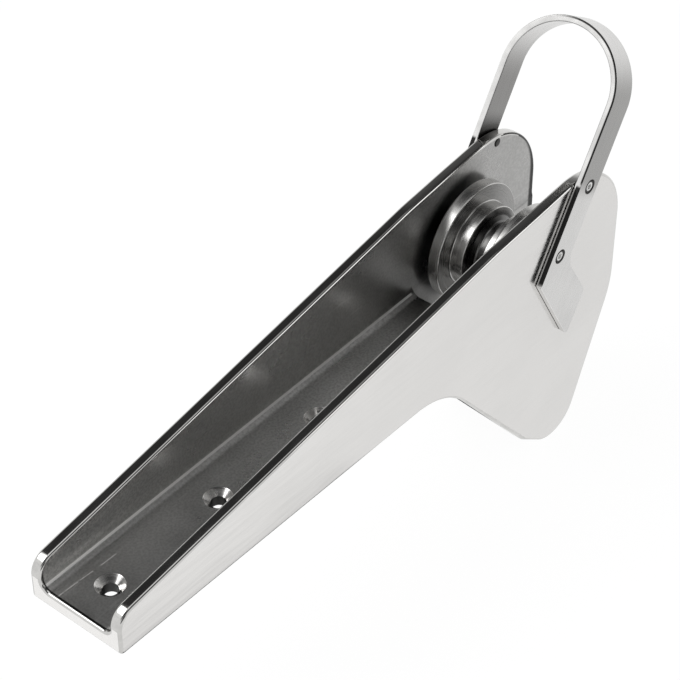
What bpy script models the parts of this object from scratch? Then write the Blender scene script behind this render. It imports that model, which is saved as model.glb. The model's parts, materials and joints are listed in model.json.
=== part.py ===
"""Bow roller: a flared cast channel, a stepped roller on its axle and a bail of bent flat bar.

Metres, +Z up. +X runs forward over the roller, +Y is port. The origin lies on the flat
underside of the channel, at the middle of the floor.
"""
import math

import bmesh
import bpy
from mathutils import Matrix, Vector

MM = 0.001
FIT_GAP = 0.3            # left between pieces that touch

# Channel (lengths in mm, x measured from the aft end, z from the underside)
FLOOR_LENGTH = 308.0
FLOOR_THICK = 10.0
BAY_LENGTH = 120.3       # from the end of the floor to the front of the cheeks
CHEEK_THICK = 7.2
HALF_WIDTH_AFT = 32.0
FLARE = 3.0              # added to each side between the aft end and the roller bay
FLARE_RUN_ON = 37.0      # the cheeks spread this far past the end of the floor
FOLD_RADIUS = 6.0
RIM_HEIGHT_AFT = 26.8
SHOULDER_BACK = 3.0      # the rim turns here, behind the end of the floor
SHOULDER_HEIGHT = 73.9
SHOULDER_RADIUS = 160.0
RIM_HEIGHT_FRONT = 86.2
AFT_TOP_RADIUS = 12.0
AFT_FOOT_RADIUS = 2.4
BROW_RADIUS = 50.0
NOSE_DROP = 24.0         # how far below the floor the nose stays upright
NOSE_RADIUS = 60.0
BEAK_TIP_BACK = 43.6     # behind the front of the cheeks
BEAK_TIP_DROP = 127.6
BEAK_TIP_RADIUS = 23.0
BEAK_HEEL_AHEAD = 35.0   # ahead of the end of the floor
BEAK_HEEL_DROP = 97.0
BEAK_HEEL_RADIUS = 25.0
BEAK_ROOT_BACK = 45.3    # behind the end of the floor
BEAK_ROOT_RADIUS = 56.0
CAST_EDGE = 1.7
BAY_RELIEF = 0.15        # the roller bay is machined this much wider on each side
RELIEF_BACK = 22.7       # the space below the floor starts this far behind the beak's root
CUT_PAST = 60.0          # cutters run on this far past the casting
CUT_BEHIND = 20.0        # and the trough's cutter this far behind it

# Deck bolts
BOLT_FIRST = 25.4
BOLT_LAST_BACK = 34.2    # from the last bolt to the end of the floor
BOLT_COUNT = 4
BOLT_HOLE_RADIUS = 4.5
BOLT_SINK_RADIUS = 8.0

# Roller and axle
ROLLER_RADIUS = 37.8
ROLLER_GAP = 7.7         # between the end of the floor and the roller
ROLLER_Z = 28.0
SIDE_GAP = 5.0           # between the roller and each cheek
FLANGE_WIDTH = 8.1
STEP_RADIUS = 26.7
WAIST_HALF = 5.6         # half the width of the groove that takes a link on edge
WAIST_RADIUS = 18.0
AXLE_RADIUS = 5.0
BUSH_WALL = 2.2
BUSH_LENGTH = 15.0
BUSH_FLANGE_RADIUS = 10.0
BUSH_FLANGE_THICK = 1.5
SPACER_RADIUS = 9.5

# Bail, cut from flat bar and bent
BAR_WIDTH = 20.0
BAR_THICK = 4.0
BAR_EDGE = 0.5
BAIL_LEAN = math.radians(30.96)
BAIL_AHEAD = 49.3        # aft edge of the bar where the arch begins, ahead of the axle
BAIL_RISE = 94.8         # and above it
HEEL_DROP = 113.0        # down the leg from where the arch begins
TOE_DROP = 145.0
TOE_TOP_DROP = 114.4
INSTEP = (98.7, 25.6)
INSTEP_TOP_DROP = 90.4
FOOT_REACH = 55.0
FOOT_CORNER = 2.0
SCREW_PLACES = {"upper": (48.4, 11.0), "lower": (92.5, 8.0)}

# Countersunk screws
SCREW_RADIUS = 2.5
SCREW_HOLE_RADIUS = 2.8
SINK_RADIUS = 4.7        # where the countersink meets the face of the bar
HEAD_BELOW = 0.3         # the head lies this far below that face
SOCKET_RADIUS = 1.7
SOCKET_DEPTH = 1.3

FRONT_X = FLOOR_LENGTH + BAY_LENGTH
FLARE_END = FLOOR_LENGTH + FLARE_RUN_ON
HALF_WIDTH_BAY = HALF_WIDTH_AFT + FLARE
INNER_BAY = HALF_WIDTH_BAY - CHEEK_THICK
INNER_AFT = HALF_WIDTH_AFT - CHEEK_THICK
BOLT_PITCH = (FLOOR_LENGTH - BOLT_FIRST - BOLT_LAST_BACK) / (BOLT_COUNT - 1)
ROLLER_X = FLOOR_LENGTH + ROLLER_GAP + ROLLER_RADIUS
ROLLER_HALF = INNER_BAY - SIDE_GAP
FLANGE_FACE = ROLLER_HALF - FLANGE_WIDTH    # half the width of the rope way
BAIL_CENTRE = (ROLLER_X + BAIL_AHEAD, ROLLER_Z + BAIL_RISE)
BAR_FACE = HALF_WIDTH_BAY + FIT_GAP + BAR_THICK
ORIGIN_X = FLOOR_LENGTH / 2
SIDES = {"port": 1, "starboard": -1}


def clear_scene():
    for obj in list(bpy.data.objects):
        bpy.data.objects.remove(obj, do_unlink=True)
    for group in list(bpy.data.collections):
        bpy.data.collections.remove(group)


def make_collection(name):
    group = bpy.data.collections.new(name)
    bpy.context.scene.collection.children.link(group)
    return group


def make_material(name, colour, roughness, metallic):
    mat = bpy.data.materials.new(name)
    mat.use_nodes = True
    shader = mat.node_tree.nodes["Principled BSDF"]
    shader.inputs["Base Color"].default_value = (*colour, 1.0)
    shader.inputs["Roughness"].default_value = roughness
    shader.inputs["Metallic"].default_value = metallic
    mat.diffuse_color = (*colour, 1.0)
    return mat


def place(x, y, z):
    """A point of the drawing, in mm from the aft end, as a world point."""
    return Vector(((x - ORIGIN_X) * MM, y * MM, z * MM))


def rounded(corners, steps_per_turn=48):
    """Points of a closed outline from corners (a, b, radius), each radius as an arc."""
    points = []
    count = len(corners)
    for i, (a, b, radius) in enumerate(corners):
        here = Vector((a, b))
        to_last = (Vector(corners[i - 1][:2]) - here).normalized()
        to_next = (Vector(corners[(i + 1) % count][:2]) - here).normalized()
        if radius <= 0:
            points.append(here)
            continue
        half = to_last.angle(to_next) / 2
        reach = radius / math.tan(half)
        centre = here + (to_last + to_next).normalized() * (radius / math.sin(half))
        start = here + to_last * reach - centre
        end = here + to_next * reach - centre
        turn = math.atan2(start.x * end.y - start.y * end.x, start.dot(end))
        steps = max(2, round(abs(turn) / (2 * math.pi) * steps_per_turn))
        for k in range(steps + 1):
            angle = turn * k / steps
            c, s = math.cos(angle), math.sin(angle)
            points.append(centre + Vector((start.x * c - start.y * s, start.x * s + start.y * c)))
    return points


def sheet(name, outline, half_thick, matrix, group):
    """A flat outline as a filled curve with thickness, made a mesh in world axes."""
    data = bpy.data.curves.new(name + "_outline", "CURVE")
    data.dimensions = "2D"
    data.fill_mode = "BOTH"
    data.extrude = half_thick * MM
    spline = data.splines.new("POLY")
    spline.points.add(len(outline) - 1)
    for point, place_on in zip(spline.points, outline):
        point.co = (place_on[0] * MM, place_on[1] * MM, 0.0, 1.0)
    spline.use_cyclic_u = True
    guide = bpy.data.objects.new(name + "_guide", data)
    group.objects.link(guide)
    bpy.context.view_layer.update()
    evaluated = guide.evaluated_get(bpy.context.evaluated_depsgraph_get())
    mesh = bpy.data.meshes.new_from_object(evaluated)
    bpy.data.objects.remove(guide, do_unlink=True)
    bpy.data.curves.remove(data)
    work = bmesh.new()
    work.from_mesh(mesh)
    bmesh.ops.remove_doubles(work, verts=work.verts, dist=1e-6)
    bmesh.ops.dissolve_limit(work, angle_limit=0.001, verts=work.verts, edges=work.edges)
    bmesh.ops.transform(work, matrix=matrix, verts=work.verts)
    bmesh.ops.recalc_face_normals(work, faces=work.faces)
    work.to_mesh(mesh)
    work.free()
    mesh.name = name
    obj = bpy.data.objects.new(name, mesh)
    group.objects.link(obj)
    return obj


def cut_across(work, point, normal):
    geometry = list(work.verts) + list(work.edges) + list(work.faces)
    bmesh.ops.bisect_plane(work, geom=geometry, dist=1e-7, plane_co=point, plane_no=normal)


def flare(obj):
    """Spreads a straight channel form sideways, evenly up to the roller bay."""
    work = bmesh.new()
    work.from_mesh(obj.data)
    cut_across(work, place(FLARE_END, 0, 0), (1, 0, 0))
    flat_half = (INNER_AFT - FOLD_RADIUS) * MM
    for vert in work.verts:
        along = min((vert.co.x / MM + ORIGIN_X) / FLARE_END, 1.0)
        share = min(abs(vert.co.y) / flat_half, 1.0)
        vert.co.y += math.copysign(FLARE * MM * along * share, vert.co.y)
    work.to_mesh(obj.data)
    work.free()


def turned(name, profile, steps, group, closed=True):
    """A turned piece: (radius, height) points running down the outer side."""
    verts = [(r * MM, 0.0, h * MM) for r, h in profile]
    edges = [(i, i + 1) for i in range(len(verts) - 1)]
    if closed:
        edges.append((len(verts) - 1, 0))
    mesh = bpy.data.meshes.new(name)
    mesh.from_pydata(verts, edges, [])
    obj = bpy.data.objects.new(name, mesh)
    group.objects.link(obj)
    spin = obj.modifiers.new("turn", "SCREW")
    spin.axis = "Z"
    spin.angle = 2 * math.pi
    spin.steps = steps
    spin.render_steps = steps
    spin.use_merge_vertices = True
    spin.merge_threshold = 0.00001
    spin.use_smooth_shade = True
    return obj


def stand_across(obj, x, y, z, side=1):
    """Lays a turned piece along Y, its top to port for side 1 and to starboard for -1."""
    obj.location = place(x, y, z)
    obj.rotation_euler = (math.radians(-90 * side), 0, 0)


def as_cutter(obj):
    obj.hide_render = True
    obj.display_type = "WIRE"
    return obj


def rod_cutter(name, radius, x, z, group, sides=40):
    obj = turned(
        name, [(0, CUT_PAST), (radius, CUT_PAST), (radius, -CUT_PAST), (0, -CUT_PAST)],
        sides, group, closed=False)
    stand_across(obj, x, 0, z)
    return as_cutter(obj)


def carve(obj, cutter, name):
    step = obj.modifiers.new(name, "BOOLEAN")
    step.operation = "DIFFERENCE"
    step.solver = "EXACT"
    step.object = cutter


def soften(obj, width, segments, angle=35):
    step = obj.modifiers.new("rounded edges", "BEVEL")
    step.width = width * MM
    step.segments = segments
    step.limit_method = "ANGLE"
    step.angle_limit = math.radians(angle)
    step.use_clamp_overlap = False
    step.miter_outer = "MITER_SHARP"


def shade(obj, mat, angle=30):
    obj.data.materials.clear()
    obj.data.materials.append(mat)
    if len(obj.data.polygons):
        obj.data.shade_smooth()
        obj.data.set_sharp_from_angle(angle=math.radians(angle))


def cheek_outline():
    """Side view of the casting: long low cheek, rounded brow and the beak below the roller."""
    return rounded([
        (0.0, 0.0, AFT_FOOT_RADIUS),
        (FLOOR_LENGTH - BEAK_ROOT_BACK, 0.0, BEAK_ROOT_RADIUS),
        (FLOOR_LENGTH + BEAK_HEEL_AHEAD, -BEAK_HEEL_DROP, BEAK_HEEL_RADIUS),
        (FRONT_X - BEAK_TIP_BACK, -BEAK_TIP_DROP, BEAK_TIP_RADIUS),
        (FRONT_X, -NOSE_DROP, NOSE_RADIUS),
        (FRONT_X, RIM_HEIGHT_FRONT, BROW_RADIUS),
        (FLOOR_LENGTH - SHOULDER_BACK, SHOULDER_HEIGHT, SHOULDER_RADIUS),
        (0.0, RIM_HEIGHT_AFT, AFT_TOP_RADIUS),
    ], steps_per_turn=60)


def trough_section():
    """Section of the space between the cheeks, with the fold radius at the floor."""
    return rounded([
        (INNER_AFT, RIM_HEIGHT_FRONT + CUT_PAST, 0),
        (-INNER_AFT, RIM_HEIGHT_FRONT + CUT_PAST, 0),
        (-INNER_AFT, FLOOR_THICK, FOLD_RADIUS),
        (INNER_AFT, FLOOR_THICK, FOLD_RADIUS),
    ], steps_per_turn=32)


def build_channel(parts, cutters, steel, drills):
    side_view = Matrix.Translation(place(0, 0, 0)) @ Matrix.Rotation(math.radians(90), 4, "X")
    channel = sheet("channel", cheek_outline(), HALF_WIDTH_AFT, side_view, parts)
    flare(channel)

    along_x = Matrix(((0, 0, 1, 0), (1, 0, 0, 0), (0, 1, 0, 0), (0, 0, 0, 1)))
    run = FRONT_X + CUT_PAST
    stand = Matrix.Translation(place(run / 2 - CUT_BEHIND, 0, 0)) @ along_x
    trough = as_cutter(sheet("cutter_trough", trough_section(), run / 2, stand, cutters))
    flare(trough)
    carve(channel, trough, "trough")
    soften(channel, CAST_EDGE, 3)

    start = FLOOR_LENGTH - BEAK_ROOT_BACK - RELIEF_BACK
    far, bottom = FRONT_X + CUT_PAST, -BEAK_TIP_DROP - CUT_PAST
    top = FLOOR_THICK + FOLD_RADIUS + 4.0
    bay_outline = [
        (start, 0.0), (FLOOR_LENGTH, 0.0), (FLOOR_LENGTH, top),
        (far, top), (far, bottom), (start, bottom),
    ]
    bay = as_cutter(sheet("cutter_bay", bay_outline, INNER_AFT + BAY_RELIEF, side_view, cutters))
    flare(bay)
    carve(channel, bay, "roller bay")

    sink = BOLT_SINK_RADIUS - BOLT_HOLE_RADIUS
    profile = [
        (0, FLOOR_THICK + 4.0),
        (BOLT_SINK_RADIUS, FLOOR_THICK + 4.0),
        (BOLT_SINK_RADIUS, FLOOR_THICK),
        (BOLT_HOLE_RADIUS, FLOOR_THICK - sink),
        (BOLT_HOLE_RADIUS, -4.0),
        (0, -4.0),
    ]
    for i in range(BOLT_COUNT):
        hole = turned(f"cutter_bolt_{i + 1}", profile, 36, cutters, closed=False)
        hole.location = place(BOLT_FIRST + i * BOLT_PITCH, 0, 0)
        carve(channel, as_cutter(hole), f"deck bolt {i + 1}")
    axle_hole = rod_cutter("cutter_axle", AXLE_RADIUS + FIT_GAP, ROLLER_X, ROLLER_Z, cutters)
    carve(channel, axle_hole, "axle")
    for name, drill in drills.items():
        carve(channel, drill, f"{name} screw")
    shade(channel, steel)


def leg_point(drop, across):
    """World x and z, in mm, of a point on a bail leg: down the bar and forward across it."""
    s, c = math.sin(BAIL_LEAN), math.cos(BAIL_LEAN)
    return (BAIL_CENTRE[0] - drop * s + across * c, BAIL_CENTRE[1] - drop * c - across * s)


def bail_pattern(arch_length):
    """The bail before bending: length along the bar from the crown, width across it."""
    half = arch_length / 2
    one_end = [
        (half + HEEL_DROP, 0.0, FOOT_CORNER),
        (half + TOE_DROP, FOOT_REACH, FOOT_CORNER),
        (half + TOE_TOP_DROP, FOOT_REACH, FOOT_CORNER),
        (half + INSTEP[0], INSTEP[1], 8.0),
        (half + INSTEP_TOP_DROP, BAR_WIDTH, 8.0),
    ]
    other_end = [(-a, b, r) for a, b, r in reversed(one_end)]
    return rounded(one_end + other_end, steps_per_turn=40)


def build_bail(parts, steel, drills):
    inner = HALF_WIDTH_BAY + FIT_GAP
    middle = inner + BAR_THICK / 2
    arch_length = math.pi * middle
    bail = sheet("bail", bail_pattern(arch_length), BAR_THICK / 2, Matrix.Identity(4), parts)
    work = bmesh.new()
    work.from_mesh(bail.data)
    bends = 26
    for i in range(bends + 1):
        along = arch_length * (i / bends - 0.5) * MM
        cut_across(work, (along, 0, 0), (1, 0, 0))
    s, c = math.sin(BAIL_LEAN), math.cos(BAIL_LEAN)
    for vert in work.verts:
        along, across, out = (value / MM for value in vert.co)
        run = min(max(along, -arch_length / 2), arch_length / 2)
        beyond = abs(along) - abs(run)
        angle = run / middle
        radius = middle + out
        y = radius * math.sin(angle)
        up = radius * math.cos(angle) - beyond
        x = BAIL_CENTRE[0] + up * s + across * c
        z = BAIL_CENTRE[1] + up * c - across * s
        vert.co = place(x, y, z)
    bmesh.ops.recalc_face_normals(work, faces=work.faces)
    work.to_mesh(bail.data)
    work.free()
    soften(bail, BAR_EDGE, 2, angle=40)
    for name, drill in drills.items():
        carve(bail, drill, f"{name} screw")
    shade(bail, steel)


def roller_profile(bore):
    """Half of the roller from the rim to the middle of the waist, mirrored to the other side."""
    deep = STEP_RADIUS - WAIST_RADIUS
    half = [
        (bore + 0.6, ROLLER_HALF),
        (ROLLER_RADIUS - 1.2, ROLLER_HALF),
        (ROLLER_RADIUS - 0.35, ROLLER_HALF - 0.35),
        (ROLLER_RADIUS, ROLLER_HALF - 1.2),
        (ROLLER_RADIUS, FLANGE_FACE + 0.8),
        (ROLLER_RADIUS - 0.25, FLANGE_FACE + 0.25),
        (ROLLER_RADIUS - 0.8, FLANGE_FACE),
        (STEP_RADIUS + 0.9, FLANGE_FACE),
        (STEP_RADIUS + 0.25, FLANGE_FACE - 0.25),
        (STEP_RADIUS, FLANGE_FACE - 0.9),
        (STEP_RADIUS, WAIST_HALF + 0.7),
        (STEP_RADIUS - 0.25, WAIST_HALF + 0.2),
        (STEP_RADIUS - 0.8, WAIST_HALF),
        (WAIST_RADIUS + deep * 0.42, WAIST_HALF - 0.5),
        (WAIST_RADIUS + deep * 0.18, WAIST_HALF - 1.6),
        (WAIST_RADIUS + deep * 0.05, WAIST_HALF - 3.3),
        (WAIST_RADIUS, WAIST_HALF - 5.2),
    ]
    other = [(r, -h) for r, h in reversed(half)]
    inside = [(bore, -ROLLER_HALF + 0.6), (bore, ROLLER_HALF - 0.6)]
    return half + other + inside


def build_running_gear(parts, roller_steel, steel, resin):
    bush_outer = AXLE_RADIUS + FIT_GAP + BUSH_WALL
    roller = turned("roller", roller_profile(bush_outer + FIT_GAP), 56, parts)
    stand_across(roller, ROLLER_X, 0, ROLLER_Z)
    shade(roller, roller_steel)

    inner = AXLE_RADIUS + FIT_GAP
    seat = ROLLER_HALF + FIT_GAP
    face = seat + BUSH_FLANGE_THICK
    bush = [
        (inner, face),
        (BUSH_FLANGE_RADIUS, face),
        (BUSH_FLANGE_RADIUS, seat),
        (bush_outer, seat),
        (bush_outer, seat - BUSH_LENGTH),
        (inner, seat - BUSH_LENGTH),
    ]
    spacer_top = INNER_BAY - FIT_GAP
    spacer = [
        (inner, spacer_top),
        (SPACER_RADIUS, spacer_top),
        (SPACER_RADIUS, face + FIT_GAP),
        (inner, face + FIT_GAP),
    ]
    for name, side in SIDES.items():
        for kind, profile, mat in (("bush", bush, resin), ("spacer", spacer, resin)):
            piece = turned(f"{kind}_{name}", profile, 40, parts)
            stand_across(piece, ROLLER_X, 0, ROLLER_Z, side)
            shade(piece, mat)

    end = HALF_WIDTH_BAY - 0.1
    pin = [
        (0, end),
        (AXLE_RADIUS - 0.8, end),
        (AXLE_RADIUS, end - 0.8),
        (AXLE_RADIUS, -end + 0.8),
        (AXLE_RADIUS - 0.8, -end),
        (0, -end),
    ]
    axle = turned("axle_pin", pin, 40, parts, closed=False)
    stand_across(axle, ROLLER_X, 0, ROLLER_Z)
    shade(axle, steel)


def screw_drill(name, x, z, group):
    """Clearance hole through both sides, countersunk at the outer faces of the bar."""
    sink = SINK_RADIUS - SCREW_HOLE_RADIUS
    half = [
        (0, CUT_PAST),
        (SINK_RADIUS + 0.5, CUT_PAST),
        (SINK_RADIUS + 0.5, BAR_FACE + 0.5),
        (SCREW_HOLE_RADIUS, BAR_FACE - sink),
    ]
    profile = half + [(r, -h) for r, h in reversed(half)]
    drill = turned(name, profile, 32, group, closed=False)
    stand_across(drill, x, 0, z)
    return as_cutter(drill)


def build_screws(parts, cutters, steel):
    tip = INNER_BAY - 0.5
    crown = BAR_FACE - HEAD_BELOW
    edge = 0.25
    head = SINK_RADIUS - HEAD_BELOW - edge - FIT_GAP * 1.4
    profile = [
        (0, crown),
        (head - edge, crown),
        (head, crown - edge),
        (SCREW_RADIUS, crown - edge - head + SCREW_RADIUS),
        (SCREW_RADIUS, tip + 0.6),
        (SCREW_RADIUS - 0.6, tip),
        (0, tip),
    ]
    key = bpy.data.meshes.new("cutter_key")
    work = bmesh.new()
    depth = SOCKET_DEPTH + 2.0
    bmesh.ops.create_cone(
        work, cap_ends=True, segments=6, radius1=SOCKET_RADIUS * MM, radius2=SOCKET_RADIUS * MM,
        depth=depth * MM, matrix=Matrix.Translation((0, 0, (crown - SOCKET_DEPTH + depth / 2) * MM)))
    work.to_mesh(key)
    work.free()
    for level, (drop, across) in SCREW_PLACES.items():
        x, z = leg_point(drop, across)
        for name, side in SIDES.items():
            screw = turned(f"screw_{level}_{name}", profile, 28, parts, closed=False)
            stand_across(screw, x, 0, z, side)
            socket = bpy.data.objects.new(f"cutter_key_{level}_{name}", key)
            cutters.objects.link(as_cutter(socket))
            stand_across(socket, x, 0, z, side)
            carve(screw, socket, "hex socket")
            shade(screw, steel)


def main():
    clear_scene()
    parts = make_collection("bow_roller")
    cutters = make_collection("bow_roller_cutters")
    cast = make_material("polished_cast_steel", (0.74, 0.74, 0.73), 0.12, 1.0)
    bar = make_material("polished_bar", (0.70, 0.70, 0.69), 0.15, 1.0)
    lathe = make_material("turned_steel", (0.62, 0.62, 0.61), 0.18, 1.0)
    fixing = make_material("fixing_steel", (0.66, 0.66, 0.65), 0.2, 1.0)
    resin = make_material("bearing_resin", (0.03, 0.03, 0.032), 0.45, 0.0)
    drills = {}
    for level, (drop, across) in SCREW_PLACES.items():
        x, z = leg_point(drop, across)
        drills[level] = screw_drill(f"cutter_screw_{level}", x, z, cutters)
    build_channel(parts, cutters, cast, drills)
    build_bail(parts, bar, drills)
    build_running_gear(parts, lathe, fixing, resin)
    build_screws(parts, cutters, fixing)


main()
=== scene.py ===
"""Bow roller dressed for its picture: every piece finished, on a pale floor in soft studio light.

Metres, +Z up. +X runs forward over the roller, +Y is port. The origin lies on the flat
underside of the channel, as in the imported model.
"""
import json
import math

import bpy
from bpy.props import FloatProperty, FloatVectorProperty, IntProperty, PointerProperty
from mathutils import Matrix, Vector

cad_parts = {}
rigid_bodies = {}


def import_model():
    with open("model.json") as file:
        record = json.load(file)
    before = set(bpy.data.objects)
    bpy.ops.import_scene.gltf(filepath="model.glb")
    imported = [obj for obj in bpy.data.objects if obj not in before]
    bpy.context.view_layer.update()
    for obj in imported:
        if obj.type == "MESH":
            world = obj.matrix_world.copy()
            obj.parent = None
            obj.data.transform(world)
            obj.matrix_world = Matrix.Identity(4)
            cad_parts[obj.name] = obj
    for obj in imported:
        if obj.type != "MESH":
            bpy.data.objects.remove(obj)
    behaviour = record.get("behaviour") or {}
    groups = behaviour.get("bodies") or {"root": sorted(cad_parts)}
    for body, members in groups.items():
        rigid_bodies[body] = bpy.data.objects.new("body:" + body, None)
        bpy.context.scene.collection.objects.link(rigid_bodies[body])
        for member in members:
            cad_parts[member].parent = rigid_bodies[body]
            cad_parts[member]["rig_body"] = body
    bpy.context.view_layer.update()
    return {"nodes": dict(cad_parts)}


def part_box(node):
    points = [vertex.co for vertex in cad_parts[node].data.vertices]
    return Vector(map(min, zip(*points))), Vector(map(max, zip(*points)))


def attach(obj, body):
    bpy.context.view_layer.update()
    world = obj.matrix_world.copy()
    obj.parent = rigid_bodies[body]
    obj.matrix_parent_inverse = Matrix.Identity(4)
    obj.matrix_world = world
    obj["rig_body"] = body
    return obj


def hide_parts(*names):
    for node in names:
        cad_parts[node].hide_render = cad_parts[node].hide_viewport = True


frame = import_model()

bl_info = {
    "name": "Bow Roller",
    "version": (1, 0, 0),
    "blender": (4, 5, 0),
    "location": "View3D > Sidebar > Bow Roller",
    "description": "Models and finishes a stainless bow roller with its bail",
    "category": "Object",
}

SIDES = {"port": 1, "starboard": -1}
CHANNEL_LOW, CHANNEL_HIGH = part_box("channel")
ROLLER_LOW, ROLLER_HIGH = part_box("roller")
PIN_LOW, PIN_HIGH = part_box("axle_pin")
AFT_X = CHANNEL_LOW.x
NOSE_X = CHANNEL_HIGH.x
HALF_WIDTH = CHANNEL_HIGH.y
ROLLER_CENTRE = (ROLLER_LOW + ROLLER_HIGH) / 2
ROLLER_RADIUS = (ROLLER_HIGH.z - ROLLER_LOW.z) / 2
PIN_RADIUS = (PIN_HIGH.z - PIN_LOW.z) / 2
CLEARANCE = 0.0003
ACROSS_ALL = 0.12
BELOW_ALL = 0.2

# Height of the sky as the metal sees it, as the sine of its angle, and how bright it is there.
SKY = (
    (0.0, 0.95), (0.30, 0.95), (0.48, 0.30), (0.60, 0.17), (0.68, 0.12), (0.76, 0.035),
    (0.86, 0.03), (0.93, 0.3), (0.97, 1.0))
# Patches of that sky: direction, cosines at which each begins and is full, brightness.
SKY_PATCHES = (
    ((-0.6, -0.8, 0.0), 0.80, 0.94, 0.05),
    ((-0.38, 0.47, 0.80), 0.935, 0.982, 1.0),
    ((-0.66, 0.47, 0.585), 0.94, 0.985, 1.0))
# Painted shadows on the floor as the metal sees it: middle and half width along x, then along y.
FLOOR_PAINTED_SHADOWS = (((-0.01, 0.11), (0.045, 0.125)), ((0.19, 0.09), (0.095, 0.075)))
# Lamps: name, place, width and watts, all turned to LAMP_AIM.
LAMPS = (
    ("key", (-0.98, 0.86, 1.50), 1.0, 7.0),
    ("fill", (1.15, -1.75, 0.85), 0.8, 2.2))
LAMP_AIM = Vector((0.1, 0, 0))


def size(name, description, default, least=0.0):
    return FloatProperty(name=name, description=description, default=default, min=least,
                         unit="LENGTH", precision=5)


def tone(name, description, default):
    return FloatVectorProperty(name=name, description=description, default=default, size=3,
                               subtype="COLOR", min=0.0, max=1.0)


def amount(name, description, default):
    return FloatProperty(name=name, description=description, default=default, min=0.0, max=1.0,
                         subtype="FACTOR")


class ChannelSizes(bpy.types.PropertyGroup):
    """Sizes of the casting, with places along it measured from its aft end"""
    floor_length: size("Floor length", "From the aft end to the roller bay", 0.308)
    floor_thick: size("Floor thickness", "Thickness of the floor", 0.010)
    cheek_thick: size("Cheek thickness", "Thickness of each cheek", 0.0072)
    flare: size("Flare", "Added to each side between the aft end and the bay", 0.003)
    flare_end: size("Flare end", "Place where the cheeks become parallel", 0.345)
    fold_radius: size("Fold radius", "Radius between the floor and a cheek", 0.006)
    rim_aft: size("Aft rim height", "Height of the cheeks at the aft end", 0.0268)
    rim_front: size("Front rim height", "Height of the brow", 0.0862)
    shoulder_x: size("Shoulder place", "Where the rim levels off", 0.305)
    shoulder_z: size("Shoulder height", "Height of the rim there", 0.0739)
    shoulder_radius: size("Shoulder radius", "Radius of the rim there", 0.160)
    brow_radius: size("Brow radius", "Radius of the rounded brow", 0.050)
    crest_radius: size("Crest radius", "Radius at the top of the aft end", 0.012)
    sole_radius: size("Sole radius", "Radius at the foot of the aft end", 0.0024)
    root_x: size("Root place", "Where the underside turns down into the beak", 0.2627)
    root_radius: size("Root radius", "Radius of that turn", 0.056)
    heel_x: size("Heel place", "Aft corner of the beak", 0.343)
    heel_drop: size("Heel drop", "Depth of that corner below the underside", 0.097)
    heel_radius: size("Heel radius", "Radius of that corner", 0.025)
    tip_x: size("Tip place", "Lowest corner of the beak", 0.3847)
    tip_drop: size("Tip drop", "Depth of that corner below the underside", 0.1276)
    tip_radius: size("Tip radius", "Radius of that corner", 0.023)
    nose_drop: size("Nose drop", "Depth of the front corner below the underside", 0.024)
    nose_radius: size("Nose radius", "Radius of that corner", 0.060)
    edge: size("Edge radius", "Rounding of the cast edges", 0.0017)
    relief: size("Bay relief", "Machined off each cheek in the roller bay", 0.00015)
    relief_start: size("Relief start", "Where the space below the floor begins", 0.240)
    bolt_first: size("First bolt", "Place of the aft deck bolt", 0.0254)
    bolt_pitch: size("Bolt pitch", "Distance between deck bolts", 0.0828)
    bolt_radius: size("Bolt hole radius", "Radius of a deck bolt hole", 0.0045)
    sink_radius: size("Countersink radius", "Radius of the countersink's rim", 0.008)
    bolts: IntProperty(name="Deck bolts", description="Holes on the centre line", default=4, min=1)


class RollerSizes(bpy.types.PropertyGroup):
    """Sizes of the turned roller"""
    flange_width: size("Flange width", "Width of each flange", 0.0081)
    step_radius: size("Step radius", "Radius of the steps beside the waist", 0.0267)
    waist_half: size("Waist half width", "Half the width of the middle groove", 0.0056)
    waist_radius: size("Waist radius", "Radius at the bottom of the middle groove", 0.018)
    wall_lean: size("Wall lean", "How far the groove's wall leans in half way down", 0.0005)
    wall_foot: size("Wall foot", "How far it has come in at the bottom", 0.0026)
    bore_radius: size("Bore radius", "Radius of the bore for the bushes", 0.0078)


class BailSizes(bpy.types.PropertyGroup):
    """Sizes of the bent bar, along the leg from where the arch begins and across it"""
    width: size("Bar width", "Width of the flat bar", 0.020)
    thick: size("Bar thickness", "Thickness of the flat bar", 0.004)
    edge: size("Bar edge", "Rounding of the bar's edges", 0.0005)
    lean: FloatProperty(name="Lean", description="Forward lean of the legs", subtype="ANGLE",
                        default=math.radians(30.96))
    spring_x: size("Spring place", "Aft edge where the arch begins, from the aft end", 0.40278)
    spring_z: size("Spring height", "Height of that point", 0.12278)
    heel_drop: size("Heel drop", "Down the leg to the heel", 0.113)
    toe_drop: size("Toe drop", "Down the leg to the toe", 0.145)
    toe_top_drop: size("Toe top drop", "Down the leg to the top of the toe", 0.1144)
    foot_reach: size("Foot reach", "Across from the aft edge to the toe", 0.055)
    foot_radius: size("Foot radius", "Radius of the foot's corners", 0.002)
    instep_drop: size("Instep drop", "Down the leg to where it widens", 0.0904)
    instep_foot_drop: size("Instep foot drop", "Down the leg to the instep's lower corner", 0.0987)
    instep_out: size("Instep step", "How far that corner lies past the bar", 0.0056)
    instep_radius: size("Instep radius", "Radius of the instep's corners", 0.008)
    upper_screw_drop: size("Upper screw", "Down the leg to the upper screw", 0.0484)
    upper_screw_across: size("Upper screw across", "Across the leg to the upper screw", 0.011)
    lower_screw_drop: size("Lower screw", "Down the leg to the lower screw", 0.0925)
    lower_screw_across: size("Lower screw across", "Across the leg to the lower screw", 0.008)
    hole_radius: size("Screw hole", "Radius of the screws' clearance holes", 0.0028)
    sink_radius: size("Screw countersink", "Radius of a countersink at the bar's face", 0.0047)


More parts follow.
